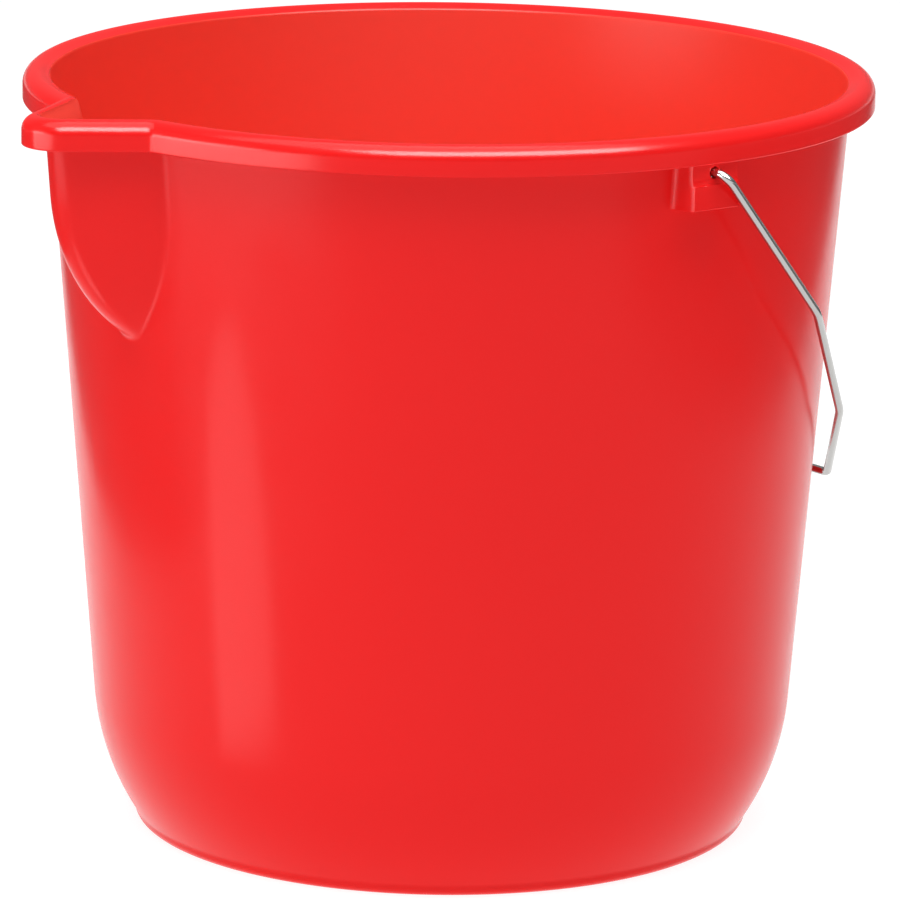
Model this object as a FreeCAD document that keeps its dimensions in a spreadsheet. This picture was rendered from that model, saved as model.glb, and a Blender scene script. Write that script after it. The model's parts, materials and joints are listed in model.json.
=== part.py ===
"""A moulded wash bucket with a pouring spout and a swinging wire bail, in millimetres.

The bucket stands on z = 0 with its middle on the Z axis. The spout points towards -Y. The bail
turns about a line parallel to X, and at rest it hangs on the +Y side, against the wall.
"""
import FreeCAD, Part
import math
import os

import Sketcher

# Driving dimensions, in millimetres and degrees. A reach is a distance from the middle towards
# the spout, and a drop is a distance from the pivot line towards the bail's hand bar.
SIZES = {
    # The bowl, outside and underneath
    "top_height": 271.0,
    "wall_top_radius": 142.0,
    "wall_foot_radius": 124.55,
    "shoulder_height": 46.6,
    "shoulder_foot_radius": 111.2,
    "foot_height": 6.0,
    "foot_radius": 110.0,
    "foot_inner_radius": 103.0,
    "base_lift": 3.0,
    # The bowl, inside
    "bore_top_radius": 140.4,
    "bore_foot_radius": 122.95,
    "floor_radius": 100.0,
    "floor_top": 5.0,
    "floor_edge_radius": 109.0,
    "floor_edge_height": 9.5,
    # The rim, a turned-down channel
    "rim_bottom": 260.6,
    "rim_radius": 150.0,
    "rim_round": 5.1,
    "skirt_inner_radius": 148.0,
    "deck_underside": 268.8,
    # The spout's lip, which carries the rim round the spout
    "wedge_back": 100.0,
    "lip_back_half_width": 61.9,
    "lip_reach": 177.4,
    "lip_nose": 14.8,
    "lip_corner": 3.0,
    "lip_inner_back_half_width": 59.45,
    "lip_inner_reach": 175.4,
    "lip_inner_nose": 12.8,
    # The spout's gutter, below the lip
    "gutter_back_half_width": 52.0,
    "gutter_reach": 169.55,
    "gutter_nose": 8.0,
    "throat_back_half_width": 50.1,
    "throat_reach": 167.95,
    "throat_nose": 6.4,
    "throat_lift": 0.7,
    # The gutter's keel, seen from the side
    "keel_bend_reach": 167.1,
    "keel_bend_height": 243.0,
    "keel_end_reach": 128.15,
    "keel_end_height": 186.5,
    # The two lugs that hold the bail, moulded on the wall under the rim
    "lug_back": 138.0,
    "lug_face": 148.4,
    "lug_back_half_width": 11.5,
    "lug_face_half_width": 9.8,
    "lug_bottom": 245.0,
    "lug_top": 269.6,
    "ledge_face": 149.5,
    "ledge_top": 253.8,
    "pocket_back": 142.2,
    "pocket_face": 146.2,
    "pocket_half_width": 7.5,
    "pocket_top": 266.0,
    "pivot_height": 257.5,
    "pivot_hole": 4.0,
    # The bail, in its own plane: offsets are from the middle, drops are from the pivot line
    "wire": 3.0,
    "hook_offset": 144.3,
    "hook_drop": 6.0,
    "hook_bend": 2.5,
    "elbow_offset": 154.3,
    "elbow_bend": 4.0,
    "hip_offset": 140.9,
    "hip_drop": 76.5,
    "hip_bend": 20.0,
    "knee_offset": 101.3,
    "knee_drop": 142.2,
    "knee_bend": 30.0,
    "hand_offset": 55.5,
    "hand_drop": 191.6,
    "hand_bend": 6.0,
    "hang_angle": 46.45,
}

# A sketch's own origin, and its horizontal and vertical axes
ORIGIN = -1
ACROSS = -1
UPRIGHT = -2
# The points of an edge
START = 1
END = 2
CENTRE = 3

SMALL = 1e-4


def make_document():
    """Start the document and put every driving dimension in its sheet."""
    doc = FreeCAD.newDocument("wash_bucket")
    sheet = doc.addObject("Spreadsheet::Sheet", "sizes")
    for row, (name, value) in enumerate(SIZES.items(), start=1):
        sheet.set(f"A{row}", name)
        sheet.set(f"B{row}", str(value))
        sheet.setAlias(f"B{row}", name)
    doc.recompute()
    return doc


def add_body(doc, label):
    body = doc.addObject("PartDesign::Body", label)
    body.Label = label
    return body


def origin_part(body, role):
    """One of the body's own planes or axes."""
    return next(f for f in body.Origin.OriginFeatures if f.Role == role)


def add_sketch(body, name, plane, lift="0"):
    """Attach a sketch to one of the body's planes, lifted off it by a formula."""
    sketch = body.newObject("Sketcher::SketchObject", name)
    sketch.AttachmentSupport = [(origin_part(body, plane), "")]
    sketch.MapMode = "FlatFace"
    sketch.setExpression("AttachmentOffset.Base.z", lift)
    return sketch


def size(name):
    """A dimension's value: negative where the name starts with a minus, zero where it is empty."""
    if not name:
        return 0.0
    if name.startswith("-"):
        return -SIZES[name[1:]]
    return SIZES[name]


def point(corner):
    return FreeCAD.Vector(size(corner[0]), size(corner[1]), 0)


def bind(sketch, constraint, formula):
    """Add a constraint and tie its value to a formula over the sheet."""
    index = sketch.addConstraint(constraint)
    sketch.renameConstraint(index, f"size{index}")
    sketch.setExpression(f"Constraints.size{index}", formula)


def pin(sketch, edge, end, corner):
    """Hold an edge's end at two named dimensions; an empty name is a place on the axis."""
    for kind, name, axis in (("DistanceX", corner[0], UPRIGHT), ("DistanceY", corner[1], ACROSS)):
        if not name:
            sketch.addConstraint(Sketcher.Constraint("PointOnObject", edge, end, axis))
        elif name.startswith("-"):
            held = Sketcher.Constraint(kind, edge, end, ORIGIN, START, -size(name))
            bind(sketch, held, f"sizes.{name[1:]}")
        else:
            held = Sketcher.Constraint(kind, ORIGIN, START, edge, end, size(name))
            bind(sketch, held, f"sizes.{name}")


def arc_between(centre, start, end, turns_left):
    """The arc from start to end and the names of its ends, in the order of travel."""
    first = math.atan2(start.y - centre.y, start.x - centre.x)
    last = math.atan2(end.y - centre.y, end.x - centre.x)
    circle = Part.Circle(centre, FreeCAD.Vector(0, 0, 1), (start - centre).Length)
    if turns_left:
        return Part.ArcOfCircle(circle, first, last), START, END
    return Part.ArcOfCircle(circle, last, first), END, START


def arc_leaving(start, end, heading):
    """The arc from start to end that leaves start along heading."""
    chord = end - start
    normal = FreeCAD.Vector(-heading.y, heading.x, 0).normalize()
    reach = chord.Length ** 2 / (2 * chord.dot(normal))
    return arc_between(start + normal * reach, start, end, reach > 0)


def draw_outline(sketch, corners, arcs=(), closed=True):
    """Draw lines through the named corners. An edge listed in arcs is an arc that runs on
    smoothly from the edge before it."""
    count = len(corners) if closed else len(corners) - 1
    ends = []
    for number in range(count):
        start = point(corners[number])
        end = point(corners[(number + 1) % len(corners)])
        if number in arcs:
            shape, first, last = arc_leaving(start, end, start - point(corners[number - 1]))
        else:
            shape, first, last = Part.LineSegment(start, end), START, END
        ends.append((sketch.addGeometry(shape), first, last))
    for number, (edge, first, _) in enumerate(ends):
        if number or closed:
            before, _, last = ends[number - 1]
            kind = "Tangent" if number in arcs else "Coincident"
            sketch.addConstraint(Sketcher.Constraint(kind, before, last, edge, first))
        pin(sketch, edge, first, corners[number])
    if not closed:
        edge, _, last = ends[-1]
        pin(sketch, edge, last, corners[-1])


def draw_circle(sketch, radius, centre=("", "")):
    """Draw a circle whose radius is a formula over the sheet."""
    shape = Part.Circle(point(centre), FreeCAD.Vector(0, 0, 1), radius[0])
    edge = sketch.addGeometry(shape)
    pin(sketch, edge, CENTRE, centre)
    bind(sketch, Sketcher.Constraint("Radius", edge, radius[0]), radius[1])


def draw_wedge(sketch, back_half_width, reach, nose):
    """Draw a wedge from inside the bowl to a rounded nose at a reach towards the spout."""
    centre = FreeCAD.Vector(0, size(nose) - size(reach), 0)
    back = point((back_half_width, "-wedge_back"))
    away = back - centre
    lean = math.atan2(away.y, away.x) - math.acos(size(nose) / away.Length)
    touch = centre + FreeCAD.Vector(math.cos(lean), math.sin(lean), 0) * size(nose)
    left_back = FreeCAD.Vector(-back.x, back.y, 0)
    left_touch = FreeCAD.Vector(-touch.x, touch.y, 0)
    right = sketch.addGeometry(Part.LineSegment(back, touch))
    shape, first, last = arc_between(centre, touch, left_touch, False)
    tip = sketch.addGeometry(shape)
    left = sketch.addGeometry(Part.LineSegment(left_touch, left_back))
    across = sketch.addGeometry(Part.LineSegment(left_back, back))
    sketch.addConstraint(Sketcher.Constraint("Tangent", right, END, tip, first))
    sketch.addConstraint(Sketcher.Constraint("Tangent", tip, last, left, START))
    sketch.addConstraint(Sketcher.Constraint("Coincident", left, END, across, START))
    sketch.addConstraint(Sketcher.Constraint("Coincident", across, END, right, START))
    pin(sketch, right, START, (back_half_width, "-wedge_back"))
    pin(sketch, left, END, ("-" + back_half_width, "-wedge_back"))
    sketch.addConstraint(Sketcher.Constraint("PointOnObject", tip, CENTRE, UPRIGHT))
    bind(sketch, Sketcher.Constraint("Radius", tip, size(nose)), f"sizes.{nose}")
    span = Sketcher.Constraint("DistanceY", tip, CENTRE, ORIGIN, START, -centre.y)
    bind(sketch, span, f"sizes.{reach} - sizes.{nose}")


def draw_keel(sketch, lift):
    """Draw the line that the gutter's nose follows from the lip down into the wall."""
    sketch.setExpression("AttachmentOffset.Base.y", lift)
    corners = [
        ("-gutter_reach", "top_height"),
        ("-keel_bend_reach", "keel_bend_height"),
        ("-keel_end_reach", "keel_end_height"),
    ]
    draw_outline(sketch, corners, arcs=(1,), closed=False)


def add_prism(body, kind, sketch, length):
    """Pad or Pocket a sketch upwards, over a length that is a formula."""
    prism = body.newObject(f"PartDesign::{kind}", sketch.Name + "_prism")
    prism.Profile = sketch
    prism.Type = "Length"
    prism.Reversed = kind == "Pocket"
    prism.setExpression("Length", length)
    return prism


def add_turning(body, kind, sketch):
    """Revolve or groove a sketch about the body's upright axis."""
    turning = body.newObject(f"PartDesign::{kind}", sketch.Name + "_turning")
    turning.Profile = sketch
    turning.ReferenceAxis = (sketch, ["V_Axis"])
    turning.Angle = 360
    return turning


def add_pipe(body, kind, profile, spine, mode):
    """Sweep a profile along a spine, added or cut away."""
    pipe = body.newObject(f"PartDesign::{kind}", profile.Name + "_pipe")
    pipe.Profile = profile
    pipe.Spine = (spine, [])
    pipe.Mode = mode
    pipe.Transition = "Transformed"
    return pipe


def add_mirror(body, name, features, role):
    """Repeat features on the other side of one of the body's planes."""
    mirror = body.newObject("PartDesign::Mirrored", name)
    mirror.Originals = features
    mirror.MirrorPlane = (origin_part(body, role), [""])
    body.Tip = mirror
    return mirror


def add_fillet(body, name, base, edges, radius):
    """Round the named edges of the feature before."""
    fillet = body.newObject("PartDesign::Fillet", name)
    fillet.Base = (base, edges)
    fillet.setExpression("Radius", f"sizes.{radius}")
    body.Document.recompute()
    return fillet


def edges_where(feature, test):
    """The names of a feature's edges whose two ends pass a test."""
    names = []
    for number, edge in enumerate(feature.Shape.Edges, start=1):
        ends = [vertex.Point for vertex in edge.Vertexes]
        if all(test(end) for end in ends) and test(edge.CenterOfMass):
            names.append(f"Edge{number}")
    return names


def near(value, target):
    return abs(value - target) < SMALL


def make_rim(body):
    """The rim: a ring and the spout's lip, rounded on top and hollow underneath."""
    doc = body.Document
    depth = "sizes.top_height - sizes.rim_bottom"
    hollow = "sizes.deck_underside - sizes.rim_bottom"
    ring = add_sketch(body, "rim_ring", "XY_Plane", "sizes.rim_bottom")
    draw_circle(ring, (size("rim_radius"), "sizes.rim_radius"))
    add_prism(body, "Pad", ring, depth)
    lip = add_sketch(body, "spout_lip", "XY_Plane", "sizes.rim_bottom")
    draw_wedge(lip, "lip_back_half_width", "lip_reach", "lip_nose")
    block = add_prism(body, "Pad", lip, depth)
    doc.recompute()

    middle = (size("top_height") + size("rim_bottom")) / 2
    corners = [
        f"Edge{number}"
        for number, edge in enumerate(block.Shape.Edges, start=1)
        if near(edge.CenterOfMass.z, middle)
        and near(math.hypot(edge.CenterOfMass.x, edge.CenterOfMass.y), size("rim_radius"))
        and edge.CenterOfMass.y < -size("wedge_back")
    ]
    joined = add_fillet(body, "lip_corners", block, corners, "lip_corner")
    crest = edges_where(joined, lambda end: near(end.z, size("top_height")))
    add_fillet(body, "rim_crest", joined, crest, "rim_round")

    under_ring = add_sketch(body, "rim_hollow", "XY_Plane", "sizes.rim_bottom")
    draw_circle(under_ring, (size("skirt_inner_radius"), "sizes.skirt_inner_radius"))
    add_prism(body, "Pocket", under_ring, hollow)
    under_lip = add_sketch(body, "lip_hollow", "XY_Plane", "sizes.rim_bottom")
    draw_wedge(under_lip, "lip_inner_back_half_width", "lip_inner_reach", "lip_inner_nose")
    add_prism(body, "Pocket", under_lip, hollow)


def make_bowl(body):
    """The bowl's outside: tapered wall, round shoulder, foot ring and raised base."""
    section = add_sketch(body, "bowl_section", "XZ_Plane")
    corners = [
        ("", "top_height"),
        ("", "base_lift"),
        ("foot_inner_radius", "base_lift"),
        ("foot_inner_radius", ""),
        ("foot_radius", ""),
        ("foot_radius", "foot_height"),
        ("shoulder_foot_radius", "foot_height"),
        ("wall_foot_radius", "shoulder_height"),
        ("wall_top_radius", "top_height"),
    ]
    # The shoulder is drawn downwards from the wall, so that it runs on smoothly from it.
    draw_outline(section, corners[::-1], arcs=(1,))
    add_turning(body, "Revolution", section)


def make_gutter(body):
    """The spout's outside: a wedge that follows the keel from the lip down into the wall."""
    profile = add_sketch(body, "gutter", "XY_Plane", "sizes.top_height")
    draw_wedge(profile, "gutter_back_half_width", "gutter_reach", "gutter_nose")
    keel = add_sketch(body, "gutter_keel", "YZ_Plane")
    draw_keel(keel, "0")
    add_pipe(body, "AdditivePipe", profile, keel, "Fixed")


def draw_block(sketch, back, face, back_half_width, face_half_width):
    """Draw a block seen from above, from its back to its face."""
    corners = [
        (back, back_half_width),
        (back, "-" + back_half_width),
        (face, "-" + face_half_width),
        (face, face_half_width),
    ]
    draw_outline(sketch, corners)


def make_lugs(body):
    """The lugs' outsides: a block under the rim on each side, with a thicker ledge below."""
    block = add_sketch(body, "lug", "XY_Plane", "sizes.lug_bottom")
    draw_block(block, "lug_back", "lug_face", "lug_back_half_width", "lug_face_half_width")
    lug = add_prism(body, "Pad", block, "sizes.lug_top - sizes.lug_bottom")
    step = add_sketch(body, "lug_ledge", "XY_Plane", "sizes.lug_bottom")
    draw_block(step, "lug_back", "ledge_face", "lug_back_half_width", "lug_face_half_width")
    ledge = add_prism(body, "Pad", step, "sizes.ledge_top - sizes.lug_bottom")
    add_mirror(body, "both_lugs", [lug, ledge], "YZ_Plane")


def make_inside(body):
    """The space inside: the bowl's bore and the throat of the spout."""
    section = add_sketch(body, "bore_section", "XZ_Plane")
    corners = [
        ("", "top_height"),
        ("bore_top_radius", "top_height"),
        ("bore_foot_radius", "shoulder_height"),
        ("floor_edge_radius", "floor_edge_height"),
        ("floor_radius", "floor_top"),
        ("", "floor_top"),
    ]
    draw_outline(section, corners, arcs=(2,))
    add_turning(body, "Groove", section)
    profile = add_sketch(body, "throat", "XY_Plane", "sizes.top_height + sizes.throat_lift")
    draw_wedge(profile, "throat_back_half_width", "throat_reach", "throat_nose")
    keel = add_sketch(body, "throat_keel", "YZ_Plane")
    draw_keel(keel, "sizes.throat_lift")
    add_pipe(body, "SubtractivePipe", profile, keel, "Fixed")


def make_pivots(body):
    """The lugs' insides: a pocket open below, and the hole that a bail end turns in."""
    inside = add_sketch(body, "lug_pocket", "XY_Plane", "sizes.lug_bottom")
    draw_block(inside, "pocket_back", "pocket_face", "pocket_half_width", "pocket_half_width")
    pocket = add_prism(body, "Pocket", inside, "sizes.pocket_top - sizes.lug_bottom")
    across = add_sketch(body, "pivot_hole", "YZ_Plane", "sizes.hook_offset")
    draw_circle(across, (size("pivot_hole") / 2, "sizes.pivot_hole / 2"), ("", "pivot_height"))
    hole = add_prism(body, "Pocket", across, "sizes.rim_radius - sizes.hook_offset")
    add_mirror(body, "both_pivots", [pocket, hole], "YZ_Plane")


def make_bucket(doc):
    """The moulding: bowl, rim, spout and lugs in one piece."""
    body = add_body(doc, "bucket_shell")
    make_rim(body)
    make_bowl(body)
    make_gutter(body)
    make_lugs(body)
    make_inside(body)
    make_pivots(body)
    return body


def rounded(corner, before, after, bend):
    """Where a bend of a given radius leaves the two straight runs at a corner."""
    back = (before - corner).normalize()
    on = (after - corner).normalize()
    setback = bend / math.tan(back.getAngle(on) / 2)
    return corner + back * setback, corner + on * setback


def draw_bail(sketch):
    """Draw half of the bail's centre line, from the middle of the hand bar to the hook's end.

    Every straight run ends on a named corner's two sides, and every bend is an arc tangent to both.
    """
    corners = [("", "hand_drop"), ("hand_offset", "hand_drop"), ("knee_offset", "knee_drop"),
               ("hip_offset", "hip_drop"), ("elbow_offset", ""), ("hook_offset", ""),
               ("hook_offset", "hook_drop")]
    bends = ["hand_bend", "knee_bend", "hip_bend", "elbow_bend", "hook_bend"]
    places = [point(corner) for corner in corners]
    leaves = [
        rounded(places[i + 1], places[i], places[i + 2], size(bend)) for i, bend in enumerate(bends)
    ]
    starts = [places[0]] + [leave[1] for leave in leaves]
    ends = [leave[0] for leave in leaves] + [places[-1]]
    runs = [sketch.addGeometry(Part.LineSegment(a, b)) for a, b in zip(starts, ends)]
    for number, bend in enumerate(bends):
        enter, leave = leaves[number]
        heading = enter - starts[number]
        shape, first, last = arc_leaving(enter, leave, heading)
        arc = sketch.addGeometry(shape)
        sketch.addConstraint(Sketcher.Constraint("Tangent", runs[number], END, arc, first))
        sketch.addConstraint(Sketcher.Constraint("Tangent", arc, last, runs[number + 1], START))
        bind(sketch, Sketcher.Constraint("Radius", arc, size(bend)), f"sizes.{bend}")
        # The corner itself is a construction point that lies on both runs.
        mark = sketch.addGeometry(Part.Point(places[number + 1]), True)
        pin(sketch, mark, START, corners[number + 1])
        sketch.addConstraint(Sketcher.Constraint("PointOnObject", mark, START, runs[number]))
        sketch.addConstraint(Sketcher.Constraint("PointOnObject", mark, START, runs[number + 1]))
    pin(sketch, runs[0], START, corners[0])
    pin(sketch, runs[-1], END, corners[-1])


def make_bail(doc):
    """The bail: one bent wire, swept in its own plane and hung from the pivot line."""
    body = add_body(doc, "wire_bail")
    spine = add_sketch(body, "bail_line", "XY_Plane")
    draw_bail(spine)
    section = add_sketch(body, "wire_section", "YZ_Plane")
    draw_circle(section, (size("wire") / 2, "sizes.wire / 2"), ("hand_drop", ""))
    half = add_pipe(body, "AdditivePipe", section, spine, "Standard")
    add_mirror(body, "both_halves", [half], "YZ_Plane")
    body.Placement = FreeCAD.Placement(
        FreeCAD.Vector(0, 0, size("pivot_height")),
        FreeCAD.Rotation(FreeCAD.Vector(-1, 0, 0), size("hang_angle")),
    )
    body.setExpression("Placement.Base.z", "sizes.pivot_height")
    body.setExpression("Placement.Rotation.Angle", "sizes.hang_angle")
    return body


def check(doc, bodies):
    """Stop if any object failed, or any sub-part is not one valid solid."""
    for item in doc.Objects:
        if "Invalid" in item.State or "Error" in item.State:
            raise RuntimeError(f"{item.Label} failed: {item.State}")
    for body in bodies:
        shape = body.Shape
        if shape.isNull() or not shape.isValid() or len(shape.Solids) != 1:
            raise RuntimeError(f"{body.Label} is not one valid solid")
        print(body.Label, round(shape.Volume), "mm3", shape.BoundBox)


def main():
    doc = make_document()
    bodies = [make_bucket(doc), make_bail(doc)]
    doc.recompute()
    check(doc, bodies)
    os.makedirs("parts", exist_ok=True)
    for body in bodies:
        body.Shape.exportStep(f"parts/{body.Label}.step")


main()
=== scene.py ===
"""The looks of a moulded wash bucket with a pouring spout and a swinging wire bail, in metres.

The spout points towards -Y, the bail's pivot line runs along X, and the floor is z = 0.
"""
import json
import math

import bmesh
import bpy
import numpy as np
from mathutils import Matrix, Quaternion, Vector


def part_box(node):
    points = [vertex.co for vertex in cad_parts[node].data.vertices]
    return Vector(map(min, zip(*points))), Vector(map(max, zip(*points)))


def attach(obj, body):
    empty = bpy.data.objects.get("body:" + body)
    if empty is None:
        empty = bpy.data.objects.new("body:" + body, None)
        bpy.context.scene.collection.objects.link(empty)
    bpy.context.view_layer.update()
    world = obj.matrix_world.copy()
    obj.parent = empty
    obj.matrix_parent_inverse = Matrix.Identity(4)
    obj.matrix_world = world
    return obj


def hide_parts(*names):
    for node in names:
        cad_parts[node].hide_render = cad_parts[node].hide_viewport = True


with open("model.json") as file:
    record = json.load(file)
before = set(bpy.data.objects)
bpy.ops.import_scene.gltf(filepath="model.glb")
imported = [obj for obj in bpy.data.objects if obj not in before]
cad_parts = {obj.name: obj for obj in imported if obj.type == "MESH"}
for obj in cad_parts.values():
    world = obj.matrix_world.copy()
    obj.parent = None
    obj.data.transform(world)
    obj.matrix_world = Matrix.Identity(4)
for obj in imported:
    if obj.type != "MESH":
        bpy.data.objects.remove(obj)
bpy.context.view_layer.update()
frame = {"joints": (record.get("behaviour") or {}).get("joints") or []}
shell_low, shell_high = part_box("bucket_shell")
swing = frame["joints"][0]

MM = 0.001

# The bowl, outside and underneath
TOP = shell_high.z
TAPER = 0.07776
WALL_TOP_RADIUS = 142.0 * MM
SHOULDER_HEIGHT = 46.6 * MM
SHOULDER_FOOT = (111.2 * MM, 6.0 * MM)
FOOT_RADIUS = 110.0 * MM
FOOT_INNER_RADIUS = 103.0 * MM
FOOT_ROUND = (4.6 * MM, 3.6 * MM)

# Profiles underneath, in millimetres: (radius, height) from the middle outwards
GATE_WELL = [(1.7, 3.1), (2.0, 3.3), (2.1, 3.7), (7.2, 3.7), (8.0, 3.1), (9.0, 3.0)]
BASE = [(60.0, 3.0), (100.6, 3.0), (102.2, 2.7), (103.0, 1.8)]
FOOT_TO_SHOULDER = [(110.12, 4.1), (110.38, 4.7), (110.74, 5.3), (111.08, 5.82)]

# The bowl, inside
BORE_TOP_RADIUS = 140.4 * MM
FLOOR_EDGE = (109.0 * MM, 9.5 * MM)

# The floor's profile, in millimetres: (radius, height) from its edge inwards
FLOOR_CORNER = [(107.6, 7.8), (106.0, 6.5), (104.2, 5.6), (102.2, 5.13), (100.0, 5.0)]
FLOOR = [(60.0, 5.0), (9.0, 5.0)]

# The rim, a turned-down channel
RIM_RADIUS = shell_high.y
RIM_BOTTOM = TOP - 10.4 * MM
RIM_ROUND = 5.1 * MM
SKIRT = 2.0 * MM
SKIRT_ROUND = 0.6 * MM
DECK_UNDERSIDE = TOP - 2.2 * MM
TOP_FALL = 1.4 * MM
DECK_WIDTH = 3.5 * MM
EDGE_ROUND = 0.9 * MM

# The spout: its lip, gutter and throat are wedges with rounded noses
LIP_SPREAD = math.radians(35.0)
LIP_REACH = -shell_low.y
LIP_NOSE = 14.8 * MM
LIP_CORNER = 1.2 * MM
GUTTER_SPREAD = math.radians(34.5)
GUTTER_REACH = LIP_REACH - 7.85 * MM
GUTTER_NOSE = 8.0 * MM
GUTTER_CREASE = 1.6 * MM
THROAT_CREASE = 5.0 * MM
KEEL_BEND = (GUTTER_REACH - 2.45 * MM, TOP - 28.0 * MM)
KEEL_END = (GUTTER_REACH - 41.4 * MM, TOP - 84.5 * MM)
GUTTER_START = KEEL_END[1] - 5 * MM
WALL = 1.6 * MM
THROAT_LIFT = 0.7 * MM
FLARE = 4.0 * MM
FLARE_DEPTH = 12.0 * MM

# The two lugs under the rim
LUG_FACE = 148.4 * MM
LEDGE_FACE = 149.5 * MM
LEDGE_TOP = 253.8 * MM
LUG_BOTTOM = 245.0 * MM
LUG_HALF_WIDTH = 9.8 * MM
LUG_DRAFT = 0.1635
LUG_ROUND = 0.5 * MM
LUG_BLEND = 3.4 * MM
LUG_HALF_TURN = math.radians(12)
POCKET_BACK = 142.2 * MM
POCKET_FACE = 146.2 * MM
POCKET_HALF_WIDTH = 7.5 * MM
POCKET_TOP = 266.0 * MM
POCKET_ROUND = 0.5 * MM
PIVOT_HEIGHT = swing["pos_m"][2]
HOLE_RADIUS = 2.0 * MM
HOLE_CHAMFER = 0.3 * MM
HOLE_SIDES = 48

# Spacings between the shell's rings. A run with a single step has no ring between its ends.
SINGLE_STEP = 1.0
PLAIN_STEP = 7 * MM
CURVED_STEP = 2.4 * MM
DETAIL_STEP = 1.1 * MM

# Edges that turn by more than this stay sharp
SMOOTH_ANGLE = math.radians(40)

# The bail, in its own plane: (offset from the middle, drop from the pivot line), and bend radii
WIRE_RADIUS = 1.5 * MM
WIRE_SIDES = 24
WIRE_END_CHAMFER = 0.35 * MM
WIRE_STEP = 6 * MM
STREAK_MAP_LENGTH = 600 * MM
HANG = math.radians((swing["range_deg"][1] - 180) / 2)
BAIL_CORNERS = [
    (0.0, 191.6 * MM),
    (55.5 * MM, 191.6 * MM),
    (101.3 * MM, 142.2 * MM),
    (140.9 * MM, 76.5 * MM),
    (154.3 * MM, 0.0),
    (144.3 * MM, 0.0),
    (144.3 * MM, 6.0 * MM),
]
BAIL_BENDS = [6.0 * MM, 30.0 * MM, 20.0 * MM, 4.0 * MM, 2.5 * MM]

# The camera
CAMERA_AZIMUTH = math.radians(52.8)
CAMERA_ELEVATION = math.radians(13.11)
CAMERA_ROLL = math.radians(0.74)
CAMERA_DISTANCE = 2.4
CAMERA_LENS = 269.16
CAMERA_HEIGHT = 133.3 * MM
CAMERA_SIDE = 2.0 * MM

# The studio
FLOOR_HALF = 8.0
CARD_DEPTHS = (-3.0, 0.6)
CARD_LIFT = 2 * MM


# ---------------------------------------------------------------- outlines seen from above


def column_turns():
    """The shell's columns: turns about Z from the spout, closer together where it has detail."""
    spans = [
        (0.0, 4.4, 0.2),
        (4.4, 16.0, 0.3),
        (16.0, 84.0, 1.5),
        (84.0, 86.4, 0.12),
        (86.4, 90.0, 0.4),
        (90.0, 93.6, 0.4),
        (93.6, 96.0, 0.12),
        (96.0, 180.0, 1.5),
    ]
    half = np.concatenate([np.linspace(start, end, round((end - start) / step), endpoint=False)
                           for start, end, step in spans])
    half = np.append(np.radians(half), math.pi)
    return np.concatenate([half, -half[1:-1][::-1]])


TURNS = column_turns()


def larger(a, b, soft):
    """The larger of two, with a rounded change from one to the other."""
    gap = np.maximum(soft - np.abs(a - b), 0)
    return np.maximum(a, b) + gap * gap / (4 * soft)


def smaller(a, b, soft):
    """The smaller of two, with a rounded change from one to the other."""
    return -larger(-a, -b, soft)


def wedge(spread, reach, nose):
    """How far a wedge's outline is from the middle in each column, or 0 off to its sides."""
    turn = np.abs(TURNS)
    centre = reach - nose
    flank = centre * math.sin(spread) + nose
    touch = math.atan2(nose * math.cos(spread), centre + nose * math.sin(spread))
    side = flank / np.sin(np.clip(turn + spread, 0.05, math.pi - 0.05))
    tip = centre * np.cos(turn) + np.sqrt(np.maximum(nose ** 2 - (centre * np.sin(turn)) ** 2, 0))
    outline = np.where(turn < touch, tip, side)
    return np.where(turn + spread < math.pi / 2, outline, 0.0)


def rim_outline(inset):
    """The rim's outline, moved in from the skirt's outside."""
    nose = max(LIP_NOSE - inset, 1.0 * MM)
    return larger(RIM_RADIUS - inset, wedge(LIP_SPREAD, LIP_REACH - inset, nose), LIP_CORNER)


def tangent_arc(start, slope, end):
    """The centre and radius of an arc that leaves start downwards at a slope and passes end."""
    inwards = np.array([-1.0, slope]) / math.hypot(slope, 1)
    chord = np.array(end) - np.array(start)
    radius = chord @ chord / (2 * chord @ inwards)
    return np.array(start) + inwards * radius, radius


def on_arc(arc, height):
    """How far from the axis an arc is at a height."""
    centre, radius = arc
    return centre[0] + math.sqrt(max(radius ** 2 - (height - centre[1]) ** 2, 0))


WALL_FOOT_RADIUS = WALL_TOP_RADIUS - (TOP - SHOULDER_HEIGHT) * TAPER
BORE_FOOT_RADIUS = BORE_TOP_RADIUS - (TOP - SHOULDER_HEIGHT) * TAPER
SHOULDER = tangent_arc((WALL_FOOT_RADIUS, SHOULDER_HEIGHT), TAPER, SHOULDER_FOOT)
BORE_SHOULDER = tangent_arc((BORE_FOOT_RADIUS, SHOULDER_HEIGHT), TAPER, FLOOR_EDGE)
KEEL_SLOPE = (GUTTER_REACH - KEEL_BEND[0]) / (TOP - KEEL_BEND[1])
KEEL = tangent_arc(KEEL_BEND, KEEL_SLOPE, KEEL_END)


def keel_reach(height):
    """How far towards the spout the gutter's keel is at a height."""
    if height > KEEL_BEND[1]:
        return KEEL_BEND[0] + (height - KEEL_BEND[1]) * KEEL_SLOPE
    return on_arc(KEEL, height)


def mouth(height):
    """How far up the spout's flared mouth a height is: 0 below it, 1 at the top."""
    return min(max((height - TOP + FLARE_DEPTH) / FLARE_DEPTH, 0.0), 1.0) ** 2


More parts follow.
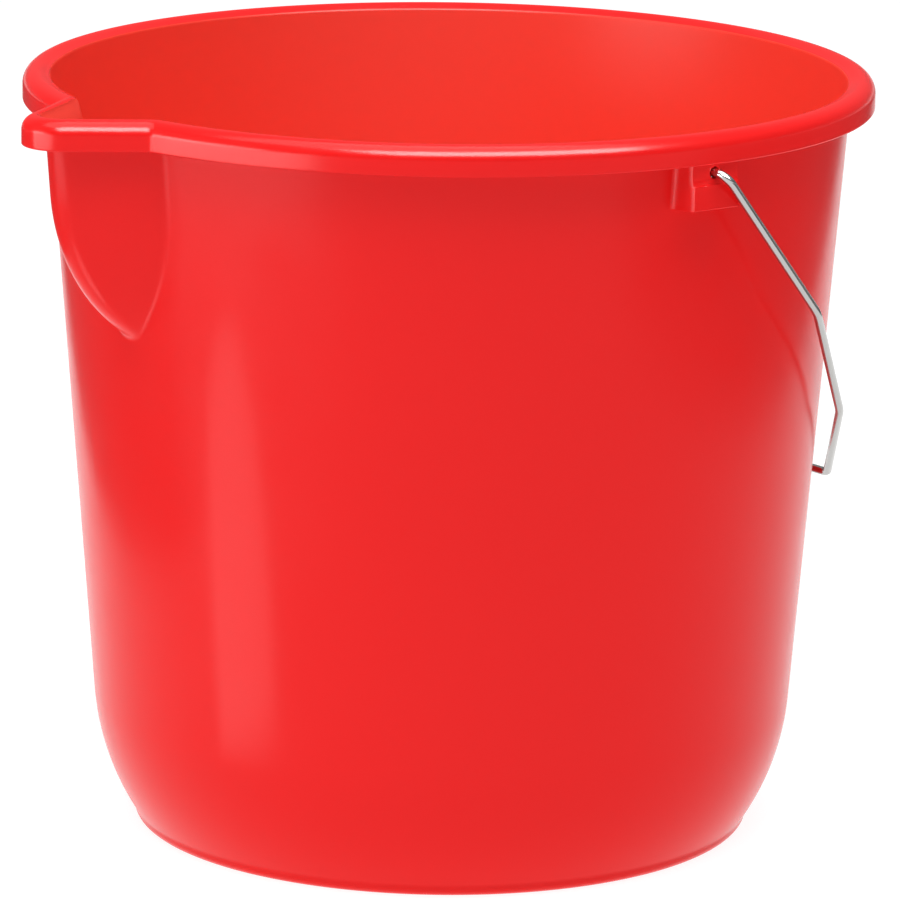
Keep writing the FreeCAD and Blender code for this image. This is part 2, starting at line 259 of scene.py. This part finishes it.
def lug_outline(height):
    """The lugs' outline in each column at a height, or 0 where there is no lug."""
    turn = np.abs(np.abs(TURNS) - math.pi / 2)
    if height < LUG_BOTTOM:
        return np.zeros_like(TURNS)
    if height > LEDGE_TOP:
        face = LUG_FACE
    else:
        near_edge = min(height - LUG_BOTTOM, LEDGE_TOP - height, LUG_ROUND)
        face = LEDGE_FACE - LUG_ROUND + math.sqrt(LUG_ROUND ** 2 - (LUG_ROUND - near_edge) ** 2)
    front = face / np.cos(turn)
    side_start = LUG_HALF_WIDTH + LUG_DRAFT * LUG_FACE
    side = side_start / (np.sin(turn) + LUG_DRAFT * np.cos(turn))
    block = smaller(front, side, LUG_ROUND)
    return np.where(turn < LUG_HALF_TURN, block, 0.0)


def wall_outline(height):
    """The bowl's outside at a height, with its gutter and lugs."""
    if height < SHOULDER_HEIGHT:
        return np.full_like(TURNS, on_arc(SHOULDER, height))
    outline = np.full_like(TURNS, WALL_TOP_RADIUS - (TOP - height) * TAPER)
    outline = larger(outline, lug_outline(height), LUG_BLEND)
    if height > GUTTER_START:
        flare = FLARE * mouth(height)
        gutter = wedge(GUTTER_SPREAD, keel_reach(height) + flare, GUTTER_NOSE + flare)
        outline = larger(outline, gutter, GUTTER_CREASE)
    return outline


def bore_outline(height):
    """The bowl's inside at a height, with the throat of the spout."""
    if height < SHOULDER_HEIGHT:
        return np.full_like(TURNS, on_arc(BORE_SHOULDER, height))
    outline = np.full_like(TURNS, BORE_TOP_RADIUS - (TOP - height) * TAPER)
    if height > GUTTER_START:
        flare = FLARE * mouth(height)
        reach = keel_reach(height - THROAT_LIFT) - WALL + flare
        throat = wedge(GUTTER_SPREAD, reach, GUTTER_NOSE - WALL + flare)
        outline = larger(outline, throat, THROAT_CREASE)
    return outline


# ---------------------------------------------------------------- the moulding


def heights(*stops):
    """Heights from one stop to the next, each stop being (height, spacing to the next)."""
    runs = [np.linspace(low, high, max(round(abs(high - low) / step), 1), endpoint=False)
            for (low, step), (high, _) in zip(stops, stops[1:])]
    return np.concatenate(runs + [[stops[-1][0]]])


def shell_rings():
    """The moulding's surface as rings, from under the base, over the rim, to the floor inside.

    A ring is a distance from the axis and a height for every column. Rings of the wall under
    the rim and of the skirt's inside come in pairs, so that they can close where a lug fills
    the channel between them. With the rings come the first and last ring of the channel, how
    many of them are on the wall, and the first ring of the inside.
    """
    rings = []

    def add(radius, height):
        rings.append((np.broadcast_to(radius, TURNS.shape), np.broadcast_to(height, TURNS.shape)))

    def add_profile(*profiles):
        for profile in profiles:
            for radius, height in profile:
                add(radius * MM, height * MM)

    # Underneath: the stub of the gate in its well, the base and the foot ring
    add_profile(GATE_WELL, BASE)
    add(FOOT_INNER_RADIUS, 0.7 * MM)
    add(FOOT_INNER_RADIUS + 0.2 * MM, 0.2 * MM)
    add(FOOT_INNER_RADIUS + 0.7 * MM, 0.0)
    for step in range(10):
        turn = math.radians(10 * step)
        add(FOOT_RADIUS - FOOT_ROUND[0] * (1 - math.sin(turn)), FOOT_ROUND[1] * (1 - math.cos(turn)))
    add_profile(FOOT_TO_SHOULDER)

    # The wall, up to the skirt's foot
    ledge_step = LUG_ROUND / 3
    wall = heights(
        (SHOULDER_FOOT[1] + 0.2 * MM, CURVED_STEP),
        (SHOULDER_HEIGHT, PLAIN_STEP),
        (GUTTER_START, DETAIL_STEP),
        (LUG_BOTTOM - 0.4 * MM, SINGLE_STEP),
        (LUG_BOTTOM - 0.04 * MM, SINGLE_STEP),
        (LUG_BOTTOM, ledge_step),
        (LUG_BOTTOM + LUG_ROUND, DETAIL_STEP),
        (LEDGE_TOP - LUG_ROUND, ledge_step),
        (LEDGE_TOP - 0.02 * MM, SINGLE_STEP),
        (LEDGE_TOP, DETAIL_STEP),
        (RIM_BOTTOM - 0.1 * MM, SINGLE_STEP),
    )
    for height in wall:
        add(wall_outline(height), height)

    # The channel under the rim
    channel = heights((RIM_BOTTOM, 1.2 * MM), (DECK_UNDERSIDE, SINGLE_STEP))
    first = len(rings)
    for height in channel:
        add(wall_outline(height), height)
    skirt_inside = rim_outline(SKIRT)
    deck_back = wall_outline(DECK_UNDERSIDE)
    deck_front = np.maximum(skirt_inside, deck_back)
    for part in (0.25, 0.5, 0.75):
        add(deck_back + (deck_front - deck_back) * part, DECK_UNDERSIDE)
    for height in channel[::-1]:
        add(np.maximum(skirt_inside, wall_outline(height)), height)
    last = len(rings) - 1

    # The skirt, the crest and the top, which falls towards the inner edge
    add(np.maximum(rim_outline(SKIRT_ROUND * 1.6), deck_front + 0.1 * MM), RIM_BOTTOM)
    for step in range(5):
        turn = math.radians(22.5 * step)
        add(rim_outline(SKIRT_ROUND * (1 - math.sin(turn))),
            RIM_BOTTOM + SKIRT_ROUND * (1 - math.cos(turn)))
    for height in heights((RIM_BOTTOM + 1.6 * MM, 1.4 * MM), (TOP - RIM_ROUND, SINGLE_STEP)):
        add(rim_outline(0.0), height)
    for step in range(1, 13):
        turn = math.radians(7.5 * step)
        add(rim_outline(RIM_ROUND * (1 - math.cos(turn))), TOP - RIM_ROUND * (1 - math.sin(turn)))
    crest = rim_outline(RIM_ROUND)
    edge_height = TOP - TOP_FALL
    edge = bore_outline(edge_height)
    deck = crest - edge - EDGE_ROUND
    fall = TOP_FALL * np.clip(deck / DECK_WIDTH, 0.1, 1.0)
    for part in (0.15, 0.35, 0.6, 0.85):
        add(crest - deck * part, TOP - fall * part ** 1.4)
    inside = len(rings)
    for step in range(6):
        turn = math.radians(18 * step)
        add(edge + EDGE_ROUND * (1 - math.sin(turn)), TOP - fall - EDGE_ROUND * (1 - math.cos(turn)))

    # Inside: the bore and the throat, the soft corner at the bottom, and the floor
    bore = heights(
        (edge_height - EDGE_ROUND, DETAIL_STEP),
        (GUTTER_START, PLAIN_STEP),
        (SHOULDER_HEIGHT, CURVED_STEP),
        (FLOOR_EDGE[1], SINGLE_STEP),
    )
    for height in bore:
        add(bore_outline(height), height)
    add_profile(FLOOR_CORNER, FLOOR)
    return rings, first, last, len(channel), inside


def shell_mesh():
    """The moulding as one closed mesh, with its inside marked."""
    rings, first, last, paired, inside = shell_rings()
    columns = len(TURNS)
    radii = np.array([radius for radius, _ in rings])
    levels = np.array([height for _, height in rings])
    places = np.stack([radii * np.sin(TURNS), -radii * np.cos(TURNS), levels], axis=-1)

    # Where a lug fills the channel, the skirt's inside and the deck share the wall's points.
    same = np.arange(len(rings) * columns).reshape(len(rings), columns)
    filled = radii[first + paired - 1] >= radii[last] - 1e-9
    for number in range(first + paired, last + 1):
        partner = first + min(last - number, paired - 1)
        same[number, filled] = same[partner, filled]

    faces = []
    for number in range(len(rings) - 1):
        for column in range(columns):
            after = (column + 1) % columns
            corners = [same[number, column], same[number, after],
                       same[number + 1, after], same[number + 1, column]]
            distinct = list(dict.fromkeys(int(corner) for corner in corners))
            if len(distinct) > 2:
                faces.append(distinct)

    # Faces that have closed onto each other are left out.
    shared = {}
    for face in faces:
        key = frozenset(face)
        shared[key] = shared.get(key, 0) + 1
    faces = [face for face in faces if shared[frozenset(face)] == 1]

    # A fan of triangles closes each end at the axis.
    points = places.reshape(-1, 3)
    bottom, top = len(points), len(points) + 1
    points = np.vstack([points, [[0, 0, levels[0, 0]], [0, 0, levels[-1, 0]]]])
    for column in range(columns):
        after = (column + 1) % columns
        faces.append([bottom, int(same[0, after]), int(same[0, column])])
        faces.append([top, int(same[-1, column]), int(same[-1, after])])

    used = sorted({corner for face in faces for corner in face})
    renumber = {old: new for new, old in enumerate(used)}
    mesh = bpy.data.meshes.new("bucket_moulding")
    mesh.from_pydata(points[used].tolist(), [], [[renumber[c] for c in face] for face in faces])

    # The inside starts halfway round the rim's inner edge.
    marks = mesh.attributes.new("inside", "FLOAT", "POINT")
    start = (inside + 3) * columns
    marks.data.foreach_set("value", [1.0 if old >= start and old != bottom else 0.0 for old in used])
    return mesh


def new_object(name, data):
    """A new object in the scene, from its mesh, light or camera."""
    made = bpy.data.objects.new(name, data)
    bpy.context.scene.collection.objects.link(made)
    return made


def turn_outwards(mesh):
    """Make every face of a closed mesh point outwards."""
    work = bmesh.new()
    work.from_mesh(mesh)
    bmesh.ops.recalc_face_normals(work, faces=work.faces[:])
    work.to_mesh(mesh)
    work.free()


def block_cutter(side):
    """A lug's pocket: a block with rounded edges, open below."""
    work = bmesh.new()
    bmesh.ops.create_cube(work, size=1.0)
    size = Vector((POCKET_FACE - POCKET_BACK, 2 * POCKET_HALF_WIDTH, POCKET_TOP - LUG_BOTTOM + 4 * MM))
    bmesh.ops.scale(work, vec=size, verts=work.verts[:])
    bmesh.ops.bevel(work, geom=work.edges[:], offset=POCKET_ROUND, segments=3, profile=0.5,
                    affect="EDGES")
    middle = Vector((side * (POCKET_BACK + POCKET_FACE) / 2, 0, POCKET_TOP - size.z / 2))
    bmesh.ops.translate(work, vec=middle, verts=work.verts[:])
    mesh = bpy.data.meshes.new("pocket_cutter")
    work.to_mesh(mesh)
    work.free()
    return new_object("pocket_cutter", mesh)


def hole_cutter(side):
    """The hole in a lug's front wall, with a small chamfer round its mouth."""
    stations = [
        (POCKET_FACE - 1.5 * MM, HOLE_RADIUS),
        (LUG_FACE - HOLE_CHAMFER, HOLE_RADIUS),
        (LUG_FACE + HOLE_CHAMFER, HOLE_RADIUS + 2 * HOLE_CHAMFER),
        (LUG_FACE + 1.4 * MM, HOLE_RADIUS + 2 * HOLE_CHAMFER),
    ]
    points = []
    for reach, radius in stations:
        for number in range(HOLE_SIDES):
            turn = 2 * math.pi * number / HOLE_SIDES
            points.append((side * reach, radius * math.cos(turn), PIVOT_HEIGHT + radius * math.sin(turn)))
    faces = []
    for ring in range(len(stations) - 1):
        near = ring * HOLE_SIDES
        far = near + HOLE_SIDES
        for number in range(HOLE_SIDES):
            after = (number + 1) % HOLE_SIDES
            faces.append((near + number, near + after, far + after, far + number))
    faces.append(tuple(range(HOLE_SIDES)))
    faces.append(tuple(range((len(stations) - 1) * HOLE_SIDES, len(stations) * HOLE_SIDES)))
    mesh = bpy.data.meshes.new("hole_cutter")
    mesh.from_pydata(points, [], faces)
    turn_outwards(mesh)
    return new_object("hole_cutter", mesh)


def cut(body, cutters):
    """Take cutters away from a body, and remove them."""
    for cutter in cutters:
        change = body.modifiers.new("cut", "BOOLEAN")
        change.operation = "DIFFERENCE"
        change.solver = "MANIFOLD"
        change.object = cutter
    graph = bpy.context.evaluated_depsgraph_get()
    mesh = bpy.data.meshes.new_from_object(body.evaluated_get(graph))
    body.modifiers.clear()
    body.data = mesh
    for cutter in cutters:
        bpy.data.objects.remove(cutter)


def shade(body):
    """Smooth shading that stays sharp at edges turning by more than SMOOTH_ANGLE."""
    body.data.shade_smooth()
    body.data.set_sharp_from_angle(angle=SMOOTH_ANGLE)
    even = body.modifiers.new("even_shading", "WEIGHTED_NORMAL")
    even.keep_sharp = True
    even.weight = 60


def make_shell():
    """The moulding, with its lugs' pockets and holes cut out."""
    mesh = shell_mesh()
    turn_outwards(mesh)
    shell = new_object("bucket_moulding", mesh)
    cut(shell, [block_cutter(1), block_cutter(-1), hole_cutter(1), hole_cutter(-1)])
    shade(shell)
    shell.data.materials.clear()
    shell.data.materials.append(red_plastic())
    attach(shell, "bucket")
    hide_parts("bucket_shell")


# ---------------------------------------------------------------- the bail


def bail_line():
    """Half of the bail's centre line in its own plane, from the middle to the hook's end."""
    corners = [np.array(corner) for corner in BAIL_CORNERS]
    line = [corners[0]]
    for number, bend in enumerate(BAIL_BENDS, start=1):
        corner = corners[number]
        back = corners[number - 1] - corner
        on = corners[number + 1] - corner
        back = back / np.linalg.norm(back)
        on = on / np.linalg.norm(on)
        opening = math.acos(float(back @ on))
        setback = bend / math.tan(opening / 2)
        middle = corner + (back + on) / np.linalg.norm(back + on) * bend / math.sin(opening / 2)
        start = corner + back * setback - middle
        end = corner + on * setback - middle
        turn = math.pi - opening
        steps = max(round(turn / math.radians(5)), 3)
        for step in range(steps + 1):
            part = step / steps
            here = (math.sin((1 - part) * turn) * start + math.sin(part * turn) * end) / math.sin(turn)
            line.append(middle + here)
    line.append(corners[-1])
    return line


def even_runs(line, longest):
    """Divide a line's long runs, so that the wire's faces are not needlessly long."""
    even = [line[0]]
    for start, end in zip(line, line[1:]):
        count = max(math.ceil(np.linalg.norm(end - start) / longest), 1)
        even.extend(start + (end - start) * step / count for step in range(1, count + 1))
    return even


def make_bail():
    """One bent wire, with a lengthways UV map for the drawn streaks."""
    half = even_runs(bail_line(), WIRE_STEP)
    line = [np.array([-offset, drop]) for offset, drop in half[:0:-1]] + half
    down = np.array([0.0, math.cos(HANG), -math.sin(HANG)])
    across = np.array([1.0, 0.0, 0.0])
    normal = np.cross(across, down)
    pivot = np.array([0.0, 0.0, PIVOT_HEIGHT])
    rings = []
    run = 0.0
    for number, (offset, drop) in enumerate(line):
        before = line[max(number - 1, 0)]
        after = line[min(number + 1, len(line) - 1)]
        heading = (after - before) / np.linalg.norm(after - before)
        ahead = across * heading[0] + down * heading[1]
        beside = np.cross(normal, ahead)
        centre = pivot + across * offset + down * drop
        if number:
            run += float(np.linalg.norm(line[number] - line[number - 1]))
        is_end = number in (0, len(line) - 1)
        if is_end:
            inwards = ahead if number == 0 else -ahead
            body = (centre + inwards * WIRE_END_CHAMFER, WIRE_RADIUS, beside, run)
            face = (centre, WIRE_RADIUS - WIRE_END_CHAMFER, beside, run)
            rings.extend([face, body] if number == 0 else [body, face])
        else:
            rings.append((centre, WIRE_RADIUS, beside, run))

    work = bmesh.new()
    lengthways = work.loops.layers.uv.new("lengthways")
    turns = [2 * math.pi * number / WIRE_SIDES for number in range(WIRE_SIDES)]
    loops = []
    for centre, radius, beside, _ in rings:
        loops.append([work.verts.new(centre + (beside * math.cos(t) + normal * math.sin(t)) * radius)
                      for t in turns])
    for number in range(len(rings) - 1):
        for side in range(WIRE_SIDES):
            after = (side + 1) % WIRE_SIDES
            face = work.faces.new([loops[number][side], loops[number][after],
                                   loops[number + 1][after], loops[number + 1][side]])
            face.smooth = True
            ends = [(number, side), (number, side + 1), (number + 1, side + 1), (number + 1, side)]
            for loop, (ring, turn) in zip(face.loops, ends):
                loop[lengthways].uv = (rings[ring][3] / STREAK_MAP_LENGTH, turn / WIRE_SIDES)
    work.faces.new(loops[0])
    work.faces.new(loops[-1])
    bmesh.ops.recalc_face_normals(work, faces=work.faces[:])
    mesh = bpy.data.meshes.new("bail_wire")
    work.to_mesh(mesh)
    work.free()
    bail = new_object("bail_wire", mesh)
    shade(bail)
    bail.data.materials.append(zinc_wire())
    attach(bail, "bail")
    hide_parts("wire_bail")


# ---------------------------------------------------------------- materials


def new_material(name):
    """A new material, with its node tree and its shader."""
    material = bpy.data.materials.new(name)
    material.use_nodes = True
    nodes = material.node_tree.nodes
    shader = next(node for node in nodes if node.type == "BSDF_PRINCIPLED")
    return material, material.node_tree, shader


def add_noise(tree, coordinates, scale, detail, stretch=(1, 1, 1)):
    """A noise texture over some coordinates, stretched along them."""
    mapping = tree.nodes.new("ShaderNodeMapping")
    mapping.inputs["Scale"].default_value = stretch
    tree.links.new(coordinates, mapping.inputs["Vector"])
    noise = tree.nodes.new("ShaderNodeTexNoise")
    noise.inputs["Scale"].default_value = scale
    noise.inputs["Detail"].default_value = detail
    tree.links.new(mapping.outputs["Vector"], noise.inputs["Vector"])
    return noise.outputs["Fac"]


def ranged(tree, value, low, high):
    """A noise's value, which is mostly 0.3 to 0.7, spread over a range."""
    spread = tree.nodes.new("ShaderNodeMapRange")
    spread.inputs["From Min"].default_value = 0.3
    spread.inputs["From Max"].default_value = 0.7
    spread.inputs["To Min"].default_value = low
    spread.inputs["To Max"].default_value = high
    tree.links.new(value, spread.inputs["Value"])
    return spread.outputs["Result"]


def add_bump(tree, height, strength, distance, under=None):
    """The normal of a bump, on top of the normal of another one if that is given."""
    bump = tree.nodes.new("ShaderNodeBump")
    bump.inputs["Strength"].default_value = strength
    bump.inputs["Distance"].default_value = distance
    tree.links.new(height, bump.inputs["Height"])
    if under is not None:
        tree.links.new(under, bump.inputs["Normal"])
    return bump.outputs["Normal"]


def red_plastic():
    """Moulded polypropylene: semi-gloss with slight waves and a fine grain, rougher inside; the inside's
    lighter, more orange red is painted light of the bowl.
    """
    material, tree, shader = new_material("red_plastic")
    place = tree.nodes.new("ShaderNodeTexCoord").outputs["Object"]
    tone = tree.nodes.new("ShaderNodeMix")
    tone.data_type = "RGBA"
    tone.inputs["A"].default_value = (0.84, 0.0088, 0.0088, 1)
    tone.inputs["B"].default_value = (0.865, 0.0108, 0.0104, 1)
    tree.links.new(add_noise(tree, place, scale=9, detail=3), tone.inputs["Factor"])
    inside = tree.nodes.new("ShaderNodeAttribute")
    inside.attribute_name = "inside"
    # Inside the bowl the red is lighter and more orange: painted light of the bowl's interior, not a
    # different plastic.
    painted_inside_light = tree.nodes.new("ShaderNodeMix")
    painted_inside_light.data_type = "RGBA"
    painted_inside_light.inputs["B"].default_value = (0.89, 0.054, 0.032, 1)
    tree.links.new(inside.outputs["Fac"], painted_inside_light.inputs["Factor"])
    tree.links.new(tone.outputs["Result"], painted_inside_light.inputs["A"])
    tree.links.new(painted_inside_light.outputs["Result"], shader.inputs["Base Color"])
    gloss = ranged(tree, add_noise(tree, place, scale=60, detail=4), 0.19, 0.235)
    rough = tree.nodes.new("ShaderNodeMix")
    rough.inputs["B"].default_value = 0.36
    tree.links.new(inside.outputs["Fac"], rough.inputs["Factor"])
    tree.links.new(gloss, rough.inputs["A"])
    tree.links.new(rough.outputs["Result"], shader.inputs["Roughness"])
    wave_height = add_noise(tree, place, scale=14, detail=0)
    waves = add_bump(tree, wave_height, strength=0.05, distance=0.4 * MM)
    grain_height = add_noise(tree, place, scale=1500, detail=1)
    grain = add_bump(tree, grain_height, strength=0.03, distance=0.02 * MM, under=waves)
    tree.links.new(grain, shader.inputs["Normal"])
    shader.inputs["IOR"].default_value = 1.46
    shader.inputs["Specular IOR Level"].default_value = 0.18
    return material


def zinc_wire():
    """Bright zinc plate on drawn wire, with streaks that run along it."""
    material, tree, shader = new_material("zinc_wire")
    lengthways = tree.nodes.new("ShaderNodeUVMap")
    lengthways.uv_map = "lengthways"
    streaks = add_noise(tree, lengthways.outputs["UV"], scale=10, detail=4, stretch=(6, 14, 1))
    place = tree.nodes.new("ShaderNodeTexCoord").outputs["Object"]
    bloom = add_noise(tree, place, scale=90, detail=1)
    tone = tree.nodes.new("ShaderNodeMix")
    tone.data_type = "RGBA"
    tone.inputs["A"].default_value = (0.41, 0.41, 0.40, 1)
    tone.inputs["B"].default_value = (0.52, 0.52, 0.505, 1)
    tree.links.new(streaks, tone.inputs["Factor"])
    tree.links.new(tone.outputs["Result"], shader.inputs["Base Color"])
    tree.links.new(ranged(tree, bloom, 0.15, 0.2), shader.inputs["Roughness"])
    grooves = add_bump(tree, streaks, strength=0.08, distance=0.05 * MM)
    tree.links.new(grooves, shader.inputs["Normal"])
    shader.inputs["Metallic"].default_value = 1.0
    return material


def pale_floor():
    """A matt white floor, lit enough by itself to look even."""
    material, tree, shader = new_material("pale_floor")
    place = tree.nodes.new("ShaderNodeTexCoord").outputs["Object"]
    matt = ranged(tree, add_noise(tree, place, scale=40, detail=2), 0.86, 0.9)
    tree.links.new(matt, shader.inputs["Roughness"])
    shader.inputs["Base Color"].default_value = (0.2, 0.2, 0.2, 1)
    shader.inputs["Specular IOR Level"].default_value = 0.1
    shader.inputs["Emission Color"].default_value = (1, 1, 1, 1)
    shader.inputs["Emission Strength"].default_value = 0.9
    return material


# ---------------------------------------------------------------- the studio


def aim(thing, place, target):
    """Put a camera or a light at a place, and point it at a target."""
    thing.location = place
    thing.rotation_mode = "QUATERNION"
    thing.rotation_quaternion = (Vector(target) - Vector(place)).to_track_quat("-Z", "Y")


def view_axes():
    """The camera's directions: towards it, and to its right."""
    back = Vector((
        math.sin(CAMERA_AZIMUTH) * math.cos(CAMERA_ELEVATION),
        -math.cos(CAMERA_AZIMUTH) * math.cos(CAMERA_ELEVATION),
        math.sin(CAMERA_ELEVATION),
    ))
    right = Vector((math.cos(CAMERA_AZIMUTH), math.sin(CAMERA_AZIMUTH), 0))
    return back, right


def make_camera():
    """A long lens, a little above the bucket, with the spout to the left."""
    back, right = view_axes()
    data = bpy.data.cameras.new("camera")
    data.sensor_width = 36
    data.lens = CAMERA_LENS
    data.clip_start = 0.1
    data.clip_end = 50
    camera = new_object("camera", data)
    target = right * CAMERA_SIDE + Vector((0, 0, CAMERA_HEIGHT))
    aim(camera, target + back * CAMERA_DISTANCE, target)
    camera.rotation_quaternion = camera.rotation_quaternion @ Quaternion((0, 0, 1), CAMERA_ROLL)
    bpy.context.scene.camera = camera


def studio_place(turn, rise, distance, lift=0.0):
    """A place round the bucket: turned from the camera's side to its right, raised and lifted."""
    azimuth = CAMERA_AZIMUTH + math.radians(turn)
    rise = math.radians(rise)
    ahead = Vector((math.sin(azimuth) * math.cos(rise), -math.cos(azimuth) * math.cos(rise),
                    math.sin(rise)))
    return ahead * distance + Vector((0, 0, lift))


def softbox(name, place, target, width, height, radiance, seen_in="both", shape="RECTANGLE"):
    """A soft light that the camera itself doesn't see.

    It shows in the shading, in the gloss or in both, so that each can be set for itself.
    """
    data = bpy.data.lights.new(name, "AREA")
    data.shape = shape
    data.size = width
    data.size_y = height
    data.energy = radiance * math.pi * width * height
    light = new_object(name, data)
    aim(light, place, target)
    light.visible_camera = False
    light.visible_diffuse = seen_in != "gloss"
    light.visible_glossy = seen_in != "shading"
    return light


def dark_card(name, near, far):
    """A dark card lying on the floor beside the bucket, which only the gloss shows."""
    right = view_axes()[1]
    towards = Vector((right.y, -right.x, 0))
    back, front = CARD_DEPTHS
    corners = [right * side + towards * depth + Vector((0, 0, CARD_LIFT))
               for side, depth in ((near, back), (far, back), (far, front), (near, front))]
    mesh = bpy.data.meshes.new(name)
    mesh.from_pydata(corners, [], [(0, 1, 2, 3)])
    card = new_object(name, mesh)
    material, _, shader = new_material(name)
    shader.inputs["Base Color"].default_value = (0.12, 0.12, 0.12, 1)
    card.data.materials.append(material)
    card.visible_camera = False
    card.visible_diffuse = False
    card.visible_shadow = False


def make_floor():
    """The plain floor that the bucket stands on."""
    corners = [(-FLOOR_HALF, -FLOOR_HALF, 0), (FLOOR_HALF, -FLOOR_HALF, 0),
               (FLOOR_HALF, FLOOR_HALF, 0), (-FLOOR_HALF, FLOOR_HALF, 0)]
    mesh = bpy.data.meshes.new("studio_floor")
    mesh.from_pydata(corners, [], [(0, 1, 2, 3)])
    floor = new_object("studio_floor", mesh)
    floor.data.materials.append(pale_floor())


def make_world():
    """Soft light from all round, dimmer towards the horizon."""
    world = bpy.data.worlds.new("studio")
    world.use_nodes = True
    tree = world.node_tree
    background = next(node for node in tree.nodes if node.type == "BACKGROUND")
    background.inputs["Color"].default_value = (0.97, 0.98, 1, 1)
    sky = tree.nodes.new("ShaderNodeTexCoord")
    upwards = tree.nodes.new("ShaderNodeSeparateXYZ")
    tree.links.new(sky.outputs["Generated"], upwards.inputs["Vector"])
    brighter = tree.nodes.new("ShaderNodeMapRange")
    brighter.interpolation_type = "SMOOTHSTEP"
    brighter.inputs["From Min"].default_value = 0.15
    brighter.inputs["From Max"].default_value = 0.6
    brighter.inputs["To Min"].default_value = 0.2
    brighter.inputs["To Max"].default_value = 0.42
    tree.links.new(upwards.outputs["Z"], brighter.inputs["Value"])
    tree.links.new(brighter.outputs["Result"], background.inputs["Strength"])
    bpy.context.scene.world = world


def make_lights():
    """Two lights for the shading, and boxes and cards that only the gloss shows."""
    middle = Vector((0, 0, TOP / 2))
    mouth = Vector((0, 0, TOP))
    lip = Vector((0, 0, 0.266))
    above = studio_place(-12, 0, 0.42)
    softbox("overhead_box", above + Vector((0, 0, 1.8)), above, width=1.9, height=2.0, radiance=3.6)
    softbox("left_box", studio_place(-74, 24, 1.8), middle, width=1.2, height=1.0, radiance=1.6,
            seen_in="shading")
    softbox("crest_box", studio_place(17, 47, 1.6, TOP), mouth, width=1.9, height=0.8, radiance=32,
            seen_in="gloss")
    softbox("band_panel", studio_place(-49.2, 0, 0.235, 0.04), studio_place(-33, 0, 0.125, 0.04),
            width=0.066, height=0.25, radiance=2.2, seen_in="gloss", shape="ELLIPSE")
    softbox("lip_box", studio_place(-58, 0, 1.0, 0.15), lip, width=0.9, height=0.26, radiance=8.5,
            seen_in="gloss")
    softbox("lip_strip", studio_place(-66, 0, 1.0, 0.34), lip, width=0.7, height=0.15, radiance=14,
            seen_in="gloss")
    softbox("bowl_spot", studio_place(-62.5, 7.5, 0.8, TOP), mouth, width=0.25, height=0.08,
            radiance=5, seen_in="gloss")
    dark_card("right_card", 0.58, 3.0)
    dark_card("left_card", -3.0, -0.4)


def make_studio():
    """The floor, the light and the plain colour settings that the picture is made with."""
    make_floor()
    make_world()
    make_lights()
    scene = bpy.context.scene
    scene.view_settings.view_transform = "Standard"
    scene.view_settings.look = "None"


make_shell()
make_bail()
make_camera()
make_studio()
